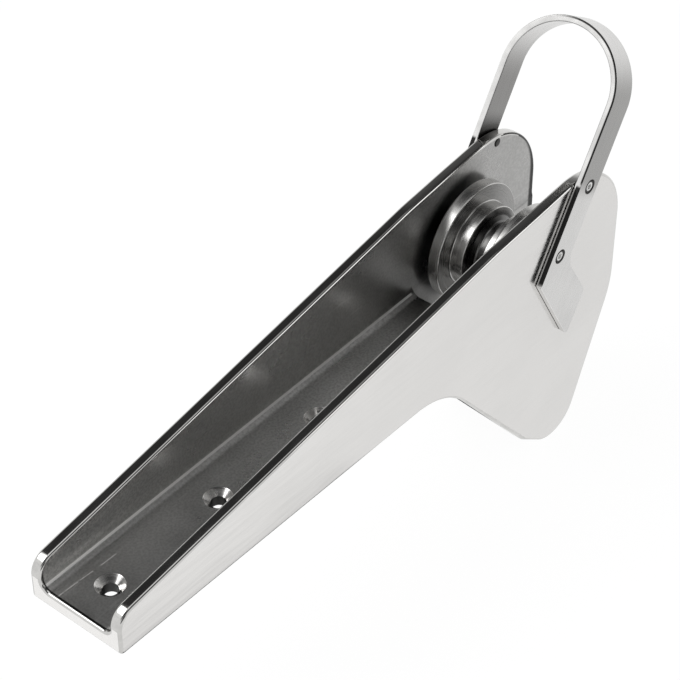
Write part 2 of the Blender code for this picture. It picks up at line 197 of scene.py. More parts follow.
class ScrewSizes(bpy.types.PropertyGroup):
    """Sizes of the countersunk screws"""
    shank: size("Shank radius", "Radius below the head", 0.0025)
    key: size("Socket size", "Radius of the key socket's corners", 0.0017)
    depth: size("Socket depth", "Depth of the key socket", 0.0013)
    edge: size("Head edge", "Easing of the head's rim", 0.00025)
    ring: size("Head ring", "Width of the shaded ring inside the rim", 0.0010)


class Finishes(bpy.types.PropertyGroup):
    """Colours and polish of the metals"""
    polish: tone("Polished casting", "Colour of the buffed outer faces", (0.80, 0.79, 0.775))
    inside: tone("Inner casting", "Colour of the faces inside the channel", (0.57, 0.566, 0.555))
    rim: tone("Rims", "Colour of the rounded edges", (0.62, 0.615, 0.60))
    # The bar colours are one brushed steel in painted light and shade: bar on the outer legs, bar_inside
    # darker on the inner faces, bar_bright on the lit arch and foot and on the edges.
    bar: tone("Bail legs", "Colour of the brushed bar on its outer faces", (0.36, 0.357, 0.35))
    bar_inside: tone("Bail inside", "Colour of the bar's inner faces", (0.27, 0.266, 0.26))
    bar_bright: tone("Bail edges", "Colour of the bar's edges and its foot", (0.76, 0.755, 0.745))
    lathe: tone("Turned steel", "Colour of the roller", (0.62, 0.614, 0.602))
    fixing: tone("Fixings", "Colour of the screws and the pin", (0.80, 0.80, 0.79))
    resin: tone("Resin", "Colour of the bearings", (0.02, 0.02, 0.021))
    polish_roughness: amount("Polish roughness", "Roughness of the buffed faces", 0.17)
    inside_roughness: amount("Inner roughness", "Roughness of the inner faces", 0.30)
    rim_roughness: amount("Rim roughness", "Roughness of the rounded edges", 0.10)


class StageSettings(bpy.types.PropertyGroup):
    """Camera and studio"""
    azimuth: FloatProperty(name="Azimuth", description="Camera's turn about the vertical",
                           subtype="ANGLE", default=math.radians(-49.92))
    elevation: FloatProperty(name="Elevation", description="Camera's height angle",
                             subtype="ANGLE", default=math.radians(41.08))
    distance: size("Distance", "From the camera to the point it looks at", 1.31615)
    lens: FloatProperty(name="Lens", description="Focal length on a 36 mm sensor",
                        unit="CAMERA", default=123.38)
    aim: FloatVectorProperty(name="Aim", description="Point the camera looks at", size=3,
                             subtype="TRANSLATION", default=(0.07709, 0.01817, 0.030))
    floor_tone: tone("Floor", "Colour of the floor", (0.93, 0.93, 0.93))


def deselect():
    if bpy.context.mode != "OBJECT":
        bpy.ops.object.mode_set(mode="OBJECT")
    bpy.ops.object.select_all(action="DESELECT")


def activate(obj):
    deselect()
    obj.select_set(True)
    bpy.context.view_layer.objects.active = obj


def rounded(corners, steps_per_turn):
    """Points of a closed outline from corners (a, b, radius), each radius as an arc."""
    points = []
    for i, (a, b, radius) in enumerate(corners):
        here = Vector((a, b))
        to_last = (Vector(corners[i - 1][:2]) - here).normalized()
        to_next = (Vector(corners[(i + 1) % len(corners)][:2]) - here).normalized()
        if radius <= 0:
            points.append(here)
            continue
        half = to_last.angle(to_next) / 2
        centre = here + (to_last + to_next).normalized() * (radius / math.sin(half))
        start = here + to_last * (radius / math.tan(half)) - centre
        end = here + to_next * (radius / math.tan(half)) - centre
        turn = math.atan2(start.x * end.y - start.y * end.x, start.dot(end))
        steps = max(3, round(abs(turn) / (2 * math.pi) * steps_per_turn))
        for k in range(steps + 1):
            points.append(centre + Matrix.Rotation(turn * k / steps, 2) @ start)
    return points


def outline_face(name, points, lift):
    """Adds a filled ring with a vertex for each outline point, and lifts them into place."""
    deselect()
    bpy.ops.mesh.primitive_circle_add(vertices=len(points), fill_type="NGON")
    obj = bpy.context.active_object
    obj.name = name
    for vert, point in zip(obj.data.vertices, points):
        vert.co = lift(point)
    return obj


def face_outwards():
    """Points every normal of the piece in edit mode outwards, and leaves edit mode."""
    bpy.ops.mesh.select_all(action="SELECT")
    bpy.ops.mesh.normals_make_consistent(inside=False)
    bpy.ops.object.mode_set(mode="OBJECT")


def extrude(obj, along):
    """Extrudes the whole face and points every normal outwards."""
    activate(obj)
    bpy.ops.object.mode_set(mode="EDIT")
    bpy.ops.mesh.select_all(action="SELECT")
    bpy.ops.mesh.extrude_region_move(TRANSFORM_OT_translate={"value": along})
    face_outwards()
    return obj


def bisect(obj, places, normal):
    """Cuts new edges across the piece at each place."""
    activate(obj)
    bpy.ops.object.mode_set(mode="EDIT")
    for place in places:
        bpy.ops.mesh.select_all(action="SELECT")
        bpy.ops.mesh.bisect(plane_co=place, plane_no=normal)
    bpy.ops.object.mode_set(mode="OBJECT")


def finish_with(obj, kind, **settings):
    """Adds a modifier and applies it."""
    activate(obj)
    step = obj.modifiers.new(kind.lower(), kind)
    for key, value in settings.items():
        setattr(step, key, value)
    bpy.ops.object.modifier_apply(modifier=step.name)


def carve(obj, cutter):
    finish_with(obj, "BOOLEAN", operation="DIFFERENCE", solver="EXACT", object=cutter)
    bpy.data.objects.remove(cutter, do_unlink=True)


def smooth(obj, degrees=32):
    """Smooth shading that leaves flat faces flat."""
    activate(obj)
    bpy.ops.object.shade_smooth_by_angle(angle=math.radians(degrees))
    finish_with(obj, "WEIGHTED_NORMAL", keep_sharp=True, weight=50)


def lathe(name, profile, centre, steps, axis=(0, 1, 0)):
    """Spins a closed profile of (radius, height) about an axis through the centre."""
    axis = Vector(axis)
    obj = outline_face(name, profile, lambda p: centre + Vector((p[0], 0, 0)) + axis * p[1])
    activate(obj)
    bpy.ops.object.mode_set(mode="EDIT")
    bpy.ops.mesh.select_all(action="SELECT")
    bpy.ops.mesh.delete(type="ONLY_FACE")
    bpy.ops.mesh.select_all(action="SELECT")
    bpy.ops.mesh.spin(steps=steps, angle=2 * math.pi, center=centre, axis=axis)
    bpy.ops.mesh.select_all(action="SELECT")
    bpy.ops.mesh.remove_doubles(threshold=0.000005)
    bpy.ops.mesh.delete_loose(use_verts=True, use_edges=True, use_faces=False)
    face_outwards()
    return obj


def rod(name, radius, x, z):
    """A plain round cutter across the channel."""
    deselect()
    bpy.ops.mesh.primitive_cylinder_add(
        vertices=48, radius=radius, depth=ACROSS_ALL, location=(x, 0, z),
        rotation=(math.radians(90), 0, 0))
    return bpy.context.active_object


def finished(obj, node):
    """Puts the piece on the node's body in place of the node."""
    activate(obj)
    bpy.ops.object.transform_apply(location=True, rotation=True, scale=True)
    obj.data.name = obj.name
    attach(obj, frame["nodes"][node]["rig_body"])
    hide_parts(node)
    deselect()


class Nodes:
    """Short calls that add nodes and links to a tree."""

    def __init__(self, tree):
        self.tree = tree

    def add(self, kind, **settings):
        node = self.tree.nodes.new(kind)
        for key, value in settings.items():
            setattr(node, key, value)
        return node

    def join(self, source, target):
        """Links an output to an input, or sets the input where the source is a constant."""
        if isinstance(source, (int, float)):
            target.default_value = source
        elif isinstance(source, (tuple, Vector)) or hasattr(source, "hsv"):
            target.default_value = (*source[:3], 1.0) if target.type == "RGBA" else tuple(source)
        else:
            self.tree.links.new(source, target)

    def math(self, operation, a, b=0.0):
        node = self.add("ShaderNodeMath", operation=operation)
        for value, socket in zip((a, b), node.inputs):
            self.join(value, socket)
        return node.outputs[0]

    def minus(self, a, b):
        return self.math("SUBTRACT", a, b)

    def most(self, a, b):
        return self.math("MAXIMUM", a, b)

    def product(self, first, *others):
        for other in others:
            first = self.math("MULTIPLY", first, other)
        return first

    def length(self, a, b):
        """Length of the flat vector (a, b)."""
        return self.math("SQRT", self.math("ADD", self.product(a, a), self.product(b, b)))

    def beyond(self, value, middle, half):
        """How far a value lies outside a span."""
        return self.most(self.minus(self.math("ABSOLUTE", self.minus(value, middle)), half), 0.0)

    def spread(self, value, low, high, to_low=0.0, to_high=1.0):
        """Maps a value from one range to another, smoothly and held at the ends."""
        node = self.add("ShaderNodeMapRange", interpolation_type="SMOOTHSTEP")
        for number, socket in zip((value, low, high, to_low, to_high), node.inputs):
            self.join(number, socket)
        return node.outputs["Result"]

    def line(self, value, middle, half, faded):
        """1 within half a width of the middle, fading to 0 at another distance from it."""
        return self.spread(self.math("ABSOLUTE", self.minus(value, middle)), half, faded, 1.0, 0.0)

    def blend(self, share, first, second):
        node = self.add("ShaderNodeMix", data_type="RGBA")
        self.join(share, node.inputs["Factor"])
        self.join(first, node.inputs["A"])
        self.join(second, node.inputs["B"])
        return node.outputs["Result"]

    def apart(self, vector):
        node = self.add("ShaderNodeSeparateXYZ")
        self.join(vector, node.inputs[0])
        return node.outputs

    def together(self, *parts):
        node = self.add("ShaderNodeCombineXYZ")
        for part, socket in zip(parts, node.inputs):
            self.join(part, socket)
        return node.outputs[0]

    def noise_at(self, place, scale, detail=2.0, roughness=0.5):
        node = self.add("ShaderNodeTexNoise")
        node.inputs["Scale"].default_value = scale
        node.inputs["Detail"].default_value = detail
        node.inputs["Roughness"].default_value = roughness
        self.join(place, node.inputs["Vector"])
        return node.outputs["Fac"]


class Recipe(Nodes):
    """A material being built on one shader, in the coordinates of its object."""

    def __init__(self, name, metallic=1.0):
        self.material = bpy.data.materials.new(name)
        self.material.use_nodes = True
        super().__init__(self.material.node_tree)
        self.shader = self.tree.nodes["Principled BSDF"]
        self.metallic(metallic)
        self.place = self.add("ShaderNodeTexCoord").outputs["Object"]

    def axes(self):
        return self.apart(self.place)

    def from_roller(self):
        """Coordinates from the roller's centre."""
        node = self.add("ShaderNodeMapping")
        node.inputs["Location"].default_value = (-ROLLER_CENTRE.x, 0, -ROLLER_CENTRE.z)
        self.join(self.place, node.inputs["Vector"])
        return self.apart(node.outputs[0])

    def noise(self, scale, detail=3.0, stretch=(1, 1, 1)):
        """Noise on the object, stretched by a factor along each axis."""
        node = self.add("ShaderNodeMapping")
        node.inputs["Scale"].default_value = stretch
        self.join(self.place, node.inputs["Vector"])
        return self.noise_at(node.outputs[0], scale, detail, 0.55)

    def bump(self, height, strength):
        node = self.add("ShaderNodeBump")
        node.inputs["Strength"].default_value = strength
        node.inputs["Distance"].default_value = 0.0002
        self.join(height, node.inputs["Height"])
        self.join(node.outputs[0], self.shader.inputs["Normal"])

    def colour(self, source):
        self.join(source, self.shader.inputs["Base Color"])

    def roughness(self, source):
        self.join(source, self.shader.inputs["Roughness"])

    def metallic(self, source):
        self.join(source, self.shader.inputs["Metallic"])


def toned(colour, share):
    """A colour made lighter or darker by a share."""
    return tuple(c * share for c in colour)


def buffed_casting(look):
    """Outer faces: mirror buffed, painted lighter aft and on the aft end face, with faint clouds and
    buffing lines.
    """
    mat = Recipe("buffed_casting")
    x = mat.axes()[0]
    clouds = mat.spread(mat.noise(14, 4), 0.3, 0.7, 0.0, 0.10)
    lines = mat.noise(60, 3, stretch=(0.4, 8, 8))
    # Painted light: lighter aft, and lighter still on the aft end face.
    base = mat.blend(mat.spread(x, AFT_X, NOSE_X), toned(look.polish, 1.03), toned(look.polish, 0.92))
    painted_light_aft_end = mat.blend(mat.spread(x, AFT_X + 0.0003, AFT_X + 0.002), toned(look.polish, 1.2), base)
    clouded = mat.blend(clouds, painted_light_aft_end, toned(look.polish, 0.6))
    mat.colour(mat.blend(mat.spread(lines, 0.35, 0.7, 0.0, 0.04), clouded, toned(look.polish, 0.7)))
    polish = look.polish_roughness
    mat.roughness(mat.spread(lines, 0.3, 0.75, polish * 0.85, polish * 1.25))
    mat.bump(lines, 0.05)
    return mat.material


def painted_shade_by_roller(mat):
    """How light the cheek is in painted shade: dark in a ring aft of the roller and in the corner below it.
    """
    along, _, up = mat.from_roller()
    lit = mat.most(mat.spread(mat.length(along, up), 0.036, 0.043), mat.spread(along, 0.0, 0.016))
    x, _, z = mat.axes()
    from_corner = mat.length(mat.minus(x, ROLLER_CENTRE.x - 0.034), mat.minus(z, 0.012))
    return mat.product(lit, mat.spread(from_corner, 0.014, 0.052, 0.35, 1.0))


def painted_shade_end_lines(mat, sizes):
    """Painted shade: dark lines just inside the brow's round edge and inside the aft end."""
    x, _, z = mat.axes()
    radius, top = sizes.brow_radius, sizes.rim_front
    from_brow = mat.length(mat.most(mat.minus(x, NOSE_X - radius), 0.0),
                           mat.most(mat.minus(z, top - radius), 0.0))
    on_brow = mat.product(mat.spread(from_brow, radius - 0.0058, radius - 0.0036),
                          mat.spread(z, top - 0.012, top - 0.004, 1.0, 0.0))
    return mat.most(on_brow, mat.spread(x, AFT_X + 0.0022, AFT_X + 0.0030, 1.0, 0.0))


def inner_casting(look, sizes):
    """Faces inside the channel: polished, with soft clouds, grain and scratches, painted light aft and
    forward, painted shade at the brow and beside the roller, a painted highlight along the fold and painted
    dark end lines.
    """
    mat = Recipe("inner_casting")
    x, y, z = mat.axes()
    floor_top = sizes.floor_thick
    fold_top = floor_top + sizes.fold_radius
    crease = floor_top + sizes.fold_radius * (1 - math.cos(math.radians(49)))
    bay_start = AFT_X + sizes.floor_length
    on_floor = mat.spread(z, floor_top + 0.0005, floor_top + 0.004, 1.0, 0.0)
    before_bay = mat.spread(x, bay_start - 0.003, bay_start - 0.001, 1.0, 0.0)

    clouds = mat.noise(26, 5)
    toned_down = mat.spread(clouds, 0.35, 0.7, 0.0, 0.15)
    # Painted light on the aft walls and the forward floor, painted shade near the brow.
    painted_light_walls_aft = mat.product(mat.spread(z, fold_top - 0.003, fold_top + 0.001),
                            mat.spread(x, AFT_X + 0.02, AFT_X + 0.15, 1.0, 0.0))
    painted_light_floor_forward = mat.product(on_floor, mat.spread(x, AFT_X + 0.03, AFT_X + 0.22), before_bay)
    painted_shade_at_brow = mat.spread(x, ROLLER_CENTRE.x - 0.01, ROLLER_CENTRE.x + 0.02, 0.0, 0.4)
    grain = mat.spread(mat.noise(700, 2), 0.35, 0.65, 0.0, 0.34)
    scratches = mat.spread(mat.noise(70, 2, stretch=(0.25, 6, 6)), 0.66, 0.72, 0.0, 0.22)
    seen = look.inside
    for share, level in ((toned_down, 0.7), (painted_light_walls_aft, 1.65), (painted_light_floor_forward, 1.5),
                         (painted_shade_at_brow, 0.55), (grain, 0.5), (scratches, 1.4)):
        seen = mat.blend(share, seen, toned(look.inside, level))
    # Painted shade beside and below the roller.
    seen = mat.blend(painted_shade_by_roller(mat), toned(look.inside, 0.10), seen)

    bright = (1.0, 0.99, 0.97)
    # Painted highlight: a bright line along the upper part of the fold.
    painted_fold_highlight = mat.product(mat.line(z, crease, 0.0004, 0.0007), before_bay)
    scribe = mat.spread(x, AFT_X, AFT_X + 0.045, 0.0147, 0.0130)
    scribed = mat.product(mat.line(y, scribe, 0.0002, 0.0005), mat.spread(mat.noise(160, 2), 0.40, 0.52),
                          on_floor, mat.spread(x, AFT_X + 0.040, AFT_X + 0.048, 0.8, 0.0))
    seen = mat.blend(scribed, mat.blend(painted_fold_highlight, seen, bright), bright)
    # Painted shade: dark lines inside the brow's edge and the aft end.
    mat.colour(mat.blend(painted_shade_end_lines(mat, sizes), seen, toned(look.inside, 0.04)))

    in_fold = mat.product(mat.spread(z, floor_top + 0.0001, floor_top + 0.0006),
                          mat.spread(z, fold_top - 0.0015, fold_top, 1.0, 0.0))
    metal = mat.minus(mat.spread(x, AFT_X + 0.05, AFT_X + 0.20, 0.97, 0.87),
                      mat.product(mat.most(scribed, painted_fold_highlight), 0.5))
    dulled = mat.product(in_fold, mat.spread(z, crease - 0.0006, crease, 0.45, 0.0))
    mat.metallic(mat.minus(metal, dulled))
    satin = look.inside_roughness
    plain = mat.spread(clouds, 0.3, 0.7, satin * 0.85, satin * 1.3)
    mat.roughness(mat.math("ADD", plain, mat.product(in_fold, 0.1)))
    mat.bump(mat.noise(150, 3), 0.10)
    return mat.material


def rim_casting(look):
    """Rounded edges and rims: polished smoother than the faces."""
    mat = Recipe("rim_casting")
    wear = mat.noise(80, 3, stretch=(0.5, 2, 2))
    mat.colour(mat.blend(mat.spread(wear, 0.3, 0.7), toned(look.rim, 0.92), toned(look.rim, 1.08)))
    mat.roughness(mat.spread(wear, 0.3, 0.7, look.rim_roughness * 0.8, look.rim_roughness * 1.3))
    return mat.material


def machined_casting(look):
    """Countersinks: bare cut metal with fine tool rings."""
    mat = Recipe("machined_casting")
    rings = mat.noise(1200, 2, stretch=(0.05, 0.05, 1))
    mat.colour(mat.blend(rings, look.polish, toned(look.polish, 1.2)))
    mat.roughness(mat.spread(rings, 0.3, 0.7, 0.14, 0.26))
    return mat.material


def leg_drop(mat, bail):
    """Distance down the legs from where the arch begins, as a node output."""
    x, _, z = mat.axes()
    s, c = math.sin(bail.lean), math.cos(bail.lean)
    root = (AFT_X + bail.spring_x) * s + bail.spring_z * c
    return mat.minus(root, mat.math("ADD", mat.product(x, s), mat.product(z, c)))


def brushed_bar(look, bail, name, painted_foot_tone, painted_leg_tone, painted_arch_tone, turns):
    """The bail's faces: flat bar brushed along its length, with painted light and shade as a tone for arch,
    leg and foot.
    """
    mat = Recipe(name)
    drop = leg_drop(mat, bail)
    x, y, z = mat.axes()
    fine, coarse = 1100, 25.0
    fine_x, fine_z = fine * math.cos(bail.lean), fine * math.sin(bail.lean)
    across = mat.minus(mat.product(x, fine_x), mat.product(z, fine_z))
    lines = mat.noise_at(mat.together(across, mat.product(y, coarse), mat.product(drop, coarse)), 1.0)
    arch_end, leg_start, foot_start, foot_end = turns
    # Painted light and shade: one tone for the arch, another for the legs, another for the foot.
    painted_arch_and_leg = mat.blend(mat.spread(drop, arch_end, leg_start), painted_arch_tone, painted_leg_tone)
    base = mat.blend(mat.spread(drop, foot_start, foot_end), painted_arch_and_leg, painted_foot_tone)
    brushed = mat.blend(mat.spread(lines, 0.3, 0.7, 0.0, 0.05), base, toned(look.bar_inside, 0.5))
    clouds = mat.spread(mat.noise(30, 3), 0.4, 0.7, 0.0, 0.08)
    mat.colour(mat.blend(clouds, brushed, toned(look.bar_inside, 0.6)))
    mat.roughness(mat.spread(lines, 0.3, 0.7, 0.2, 0.3))
    mat.bump(lines, 0.01)
    return mat.material


def shaded_steel(look):
    """Hole walls, the bail's countersinks and the screws' rims: bare metal that stays in shade."""
    mat = Recipe("shaded_steel")
    spots = mat.noise(400, 2)
    mat.colour(mat.blend(spots, toned(look.rim, 0.04), toned(look.rim, 0.12)))
    mat.roughness(mat.spread(spots, 0.3, 0.7, 0.3, 0.42))
    return mat.material


def bar_edge_steel(look, bail):
    """The bail's narrow edges: polished, with painted dark reflections on the arrises and painted shade
    beside the cheeks.
    """
    mat = Recipe("bar_edge_steel")
    y = mat.axes()[1]
    drop = leg_drop(mat, bail)
    out = mat.length(y, mat.most(mat.product(drop, -1.0), 0.0))
    inner = HALF_WIDTH + CLEARANCE
    outer = inner + bail.thick
    rim_drop, heel = 0.048, bail.heel_drop
    beside_cheek = mat.product(mat.spread(drop, rim_drop, rim_drop + 0.002),
                               mat.spread(drop, heel - 0.003, heel, 1.0, 0.0))
    above_cheek = mat.spread(drop, rim_drop - 0.002, rim_drop + 0.001, 1.0, 0.0)
    to_starboard = mat.spread(y, -0.002, 0.022, 1.0, 0.0)
    # Painted shade beside the cheeks, and painted dark reflections along the arrises, the outer one on the
    # starboard leg only.
    shade = mat.product(mat.spread(out, inner + 0.0009, inner + 0.0013), beside_cheek)
    painted_outer_arris_line = mat.product(mat.spread(out, outer - 0.0014, outer - 0.0009), above_cheek, to_starboard)
    painted_inner_arris_line = mat.product(mat.spread(out, inner + 0.0003, inner + 0.0007, 0.5, 0.0), above_cheek)
    wear = mat.noise(90, 3)
    base = mat.blend(mat.spread(wear, 0.3, 0.7), toned(look.bar_bright, 0.96), toned(look.bar_bright, 1.15))
    dark = mat.most(shade, mat.most(painted_outer_arris_line, painted_inner_arris_line))
    mat.colour(mat.blend(dark, base, toned(look.bar_bright, 0.04)))
    mat.roughness(mat.spread(wear, 0.3, 0.7, 0.12, 0.2))
    return mat.material


def turned_steel(look, name, share):
    """The roller: faint lathe rings that follow the turning, and painted shade in the middle groove; share
    scales the tone, lower for painted shade.
    """
    mat = Recipe(name)
    metal = toned(look.lathe, share)
    along, out, up = mat.from_roller()
    radius = mat.length(along, up)
    lines = mat.noise_at(mat.together(radius, out, 0.0), 700)
    base = mat.blend(mat.spread(lines, 0.3, 0.7), toned(metal, 0.93), metal)
    clouded = mat.blend(mat.spread(mat.noise(60, 4), 0.4, 0.7, 0.0, 0.12), base, toned(metal, 0.6))
    # Painted shade: the middle groove darkened inside the steps.
    mat.colour(mat.blend(mat.spread(radius, 0.0225, 0.0262), toned(metal, 0.22), clouded))
    mat.roughness(mat.spread(lines, 0.3, 0.7, 0.20, 0.28))
    mat.bump(lines, 0.008)
    return mat.material


def fixing_steel(look):
    """Screws and the pin: bright steel with a slightly dulled crown."""
    mat = Recipe("fixing_steel")
    spots = mat.noise(260, 3)
    mat.colour(mat.blend(mat.spread(spots, 0.35, 0.7), look.fixing, toned(look.fixing, 0.75)))
    mat.roughness(mat.spread(spots, 0.3, 0.7, 0.15, 0.28))
    return mat.material


def socket_steel(look):
    """The screws' key sockets: pressed metal, dull and pale, the pale a painted highlight."""
    mat = Recipe("socket_steel", metallic=0.2)
    spots = mat.noise(500, 2)
    mat.colour(mat.blend(spots, toned(look.fixing, 0.95), toned(look.fixing, 1.2)))
    mat.roughness(mat.spread(spots, 0.3, 0.7, 0.45, 0.6))
    return mat.material


def bearing_resin(look):
    """Bushes and spacers: dark machined resin."""
    mat = Recipe("bearing_resin", metallic=0.0)
    flecks = mat.noise(600, 2)
    mat.colour(mat.blend(flecks, look.resin, toned(look.resin, 2.0)))
    mat.roughness(mat.spread(flecks, 0.3, 0.7, 0.38, 0.52))
    mat.bump(flecks, 0.1)
    return mat.material


def bail_point(bail, drop, across):
    """Where a point of a leg lies in the side view: down the bar and forward across it."""
    s, c = math.sin(bail.lean), math.cos(bail.lean)
    return (AFT_X + bail.spring_x - drop * s + across * c, bail.spring_z - drop * c - across * s)


def screw_points(bail):
    """Where the upper and the lower screw lie in the side view."""
    return (bail_point(bail, bail.upper_screw_drop, bail.upper_screw_across),
            bail_point(bail, bail.lower_screw_drop, bail.lower_screw_across))


def cheek_corners(sizes):
    """Corners of the casting's side view, with the radius of each."""
    front = NOSE_X - AFT_X
    return [
        (0.0, 0.0, sizes.sole_radius),
        (sizes.root_x, 0.0, sizes.root_radius),
        (sizes.heel_x, -sizes.heel_drop, sizes.heel_radius),
        (sizes.tip_x, -sizes.tip_drop, sizes.tip_radius),
        (front, -sizes.nose_drop, sizes.nose_radius),
        (front, sizes.rim_front, sizes.brow_radius),
        (sizes.shoulder_x, sizes.shoulder_z, sizes.shoulder_radius),
        (0.0, sizes.rim_aft, sizes.crest_radius),
    ]


def spread_sideways(obj, sizes):
    """Widens a straight channel form evenly towards the roller bay."""
    bisect(obj, [(AFT_X + sizes.flare_end, 0, 0)], (1, 0, 0))
    flat_half = HALF_WIDTH - sizes.flare - sizes.cheek_thick - sizes.fold_radius
    for vert in obj.data.vertices:
        along = min((vert.co.x - AFT_X) / sizes.flare_end, 1.0)
        share = min(abs(vert.co.y) / flat_half, 1.0)
        vert.co.y += math.copysign(1.0, vert.co.y) * sizes.flare * along * share


class BOWROLLER_OT_channel(bpy.types.Operator):
    """Model the cast channel with its cheeks, folds, deck bolt holes and roller bay"""
    bl_idname = "bow_roller.channel"
    bl_label = "Channel"

    def execute(self, context):
        sizes = context.scene.bow_roller_channel
        bail = context.scene.bow_roller_bail
        look = context.scene.bow_roller_finishes
        half_aft = HALF_WIDTH - sizes.flare
        inner_aft = half_aft - sizes.cheek_thick

        outline = rounded(cheek_corners(sizes), steps_per_turn=120)
        channel = outline_face("channel_casting", outline,
                               lambda p: Vector((AFT_X + p.x, -half_aft, p.y)))
        extrude(channel, (0, 2 * half_aft, 0))
        spread_sideways(channel, sizes)

        top = sizes.rim_front * 2
        section = rounded([
            (inner_aft, top, 0), (-inner_aft, top, 0),
            (-inner_aft, sizes.floor_thick, sizes.fold_radius),
            (inner_aft, sizes.floor_thick, sizes.fold_radius)], steps_per_turn=64)
        start, run = AFT_X - 0.02, NOSE_X - AFT_X + 0.06
        trough = outline_face("trough_cutter", section, lambda p: Vector((start, p.x, p.y)))
        extrude(trough, (run, 0, 0))
        spread_sideways(trough, sizes)
        carve(channel, trough)

        for mat in (buffed_casting(look), inner_casting(look, sizes), rim_casting(look),
                    machined_casting(look), shaded_steel(look)):
            channel.data.materials.append(mat)
        finish_with(channel, "BEVEL", width=sizes.edge, segments=5, limit_method="ANGLE",
                    angle_limit=math.radians(35), use_clamp_overlap=False,
                    miter_outer="MITER_SHARP", material=2)

        bay_half = inner_aft + sizes.relief
        bay_top = sizes.floor_thick + sizes.fold_radius + 0.004
        bay = outline_face("bay_cutter", [Vector(p) for p in (
            (sizes.relief_start, 0), (sizes.floor_length, 0), (sizes.floor_length, bay_top),
            (run, bay_top), (run, -BELOW_ALL), (sizes.relief_start, -BELOW_ALL))],
            lambda p: Vector((AFT_X + p.x, -bay_half, p.y)))
        extrude(bay, (0, 2 * bay_half, 0))
        spread_sideways(bay, sizes)
        carve(channel, bay)

        for i in range(sizes.bolts):
            carve(channel, self.bolt_cutter(sizes, sizes.bolt_first + i * sizes.bolt_pitch))
        carve(channel, rod("axle_cutter", PIN_RADIUS + CLEARANCE, ROLLER_CENTRE.x, ROLLER_CENTRE.z))
        for x, z in screw_points(bail):
            carve(channel, rod("screw_cutter", bail.hole_radius, x, z))
        self.sort_faces(channel, sizes)
        smooth(channel)
        finished(channel, "channel")
        return {"FINISHED"}

    def bolt_cutter(self, sizes, place):
        """A drill with a countersink and a slightly eased rim."""
        top = sizes.floor_thick
        sink = sizes.sink_radius - sizes.bolt_radius
        profile = [
            (0.0, top + 0.004), (sizes.sink_radius + 0.0004, top + 0.004),
            (sizes.sink_radius + 0.0004, top + 0.00001), (sizes.sink_radius, top - 0.0003),
            (sizes.bolt_radius, top - sink), (sizes.bolt_radius, -0.004), (0.0, -0.004)]
        return lathe("bolt_cutter", [Vector(p) for p in profile], Vector((AFT_X + place, 0, 0)), 64,
                     axis=(0, 0, 1))

    def sort_faces(self, channel, sizes):
        """Gives each face its finish: inner faces, rims, countersinks and shaded hole walls."""
        bolt_places = [AFT_X + sizes.bolt_first + i * sizes.bolt_pitch for i in range(sizes.bolts)]
        inner = HALF_WIDTH - sizes.cheek_thick
        brow_start, brow_under = NOSE_X - sizes.brow_radius, sizes.rim_front - 0.008
        for face in channel.data.polygons:
            at, facing = face.center, face.normal
            inward = -facing.y if at.y > 0 else facing.y
            if face.material_index == 2:
                # Painted shade: the brow's inner front edge takes the dark shaded steel.
                if facing.x > 0.1 and 0.7 < inward < 0.99 and at.x > brow_start and at.z < brow_under:
                    face.material_index = 4
                continue
            from_bolt = min(math.hypot(at.x - b, at.y) for b in bolt_places)
            if from_bolt < sizes.sink_radius + 0.0005 and at.z < sizes.floor_thick - 0.00001 and at.z > 0:
                face.material_index = 4 if abs(facing.z) < 0.2 else 3
            elif abs(at.y) < inner + 0.0005 and (
                    facing.y * at.y < 0 and abs(facing.y) > 0.9 or facing.z > 0.3 and at.z < 0.02):
                face.material_index = 1
            elif abs(facing.y) < 0.5 and abs(at.y) > inner - 0.004 and not facing.z < -0.95:
                face.material_index = 2


class BOWROLLER_OT_roller(bpy.types.Operator):
    """Turn the grooved roller with its two flanges and stepped waist"""
    bl_idname = "bow_roller.roller"
    bl_label = "Roller"

    def execute(self, context):
        sizes = context.scene.bow_roller_roller
        look = context.scene.bow_roller_finishes
        half, rim = ROLLER_HIGH.y, ROLLER_RADIUS
        flange_inside = half - sizes.flange_width
        step, bottom = sizes.step_radius, sizes.waist_radius
        deep = step - bottom
        side = [
            (sizes.bore_radius, half, 0.0006),
            (rim, half, 0.0012),
            (rim, flange_inside, 0.0008),
            (step, flange_inside, 0.0009),
            (step, sizes.waist_half, 0.0007),
            (bottom + deep * 0.42, sizes.waist_half - sizes.wall_lean, 0.002),
            (bottom + deep * 0.02, sizes.waist_half - sizes.wall_foot, 0.002),
        ]
        mirrored = [(r, -h, ease) for r, h, ease in reversed(side)]
        profile = rounded(side + mirrored, steps_per_turn=40)
        roller = lathe("roller_turned", profile, ROLLER_CENTRE, 160)
        roller.data.materials.append(turned_steel(look, "turned_steel", 1.0))
        # The flat faces take a darker copy: painted shade.
        roller.data.materials.append(turned_steel(look, "painted_shade_face_steel", 0.55))
        for face in roller.data.polygons:
            face.material_index = 1 if abs(face.normal.y) > 0.9 else 0
        smooth(roller, 40)
        finished(roller, "roller")
        return {"FINISHED"}


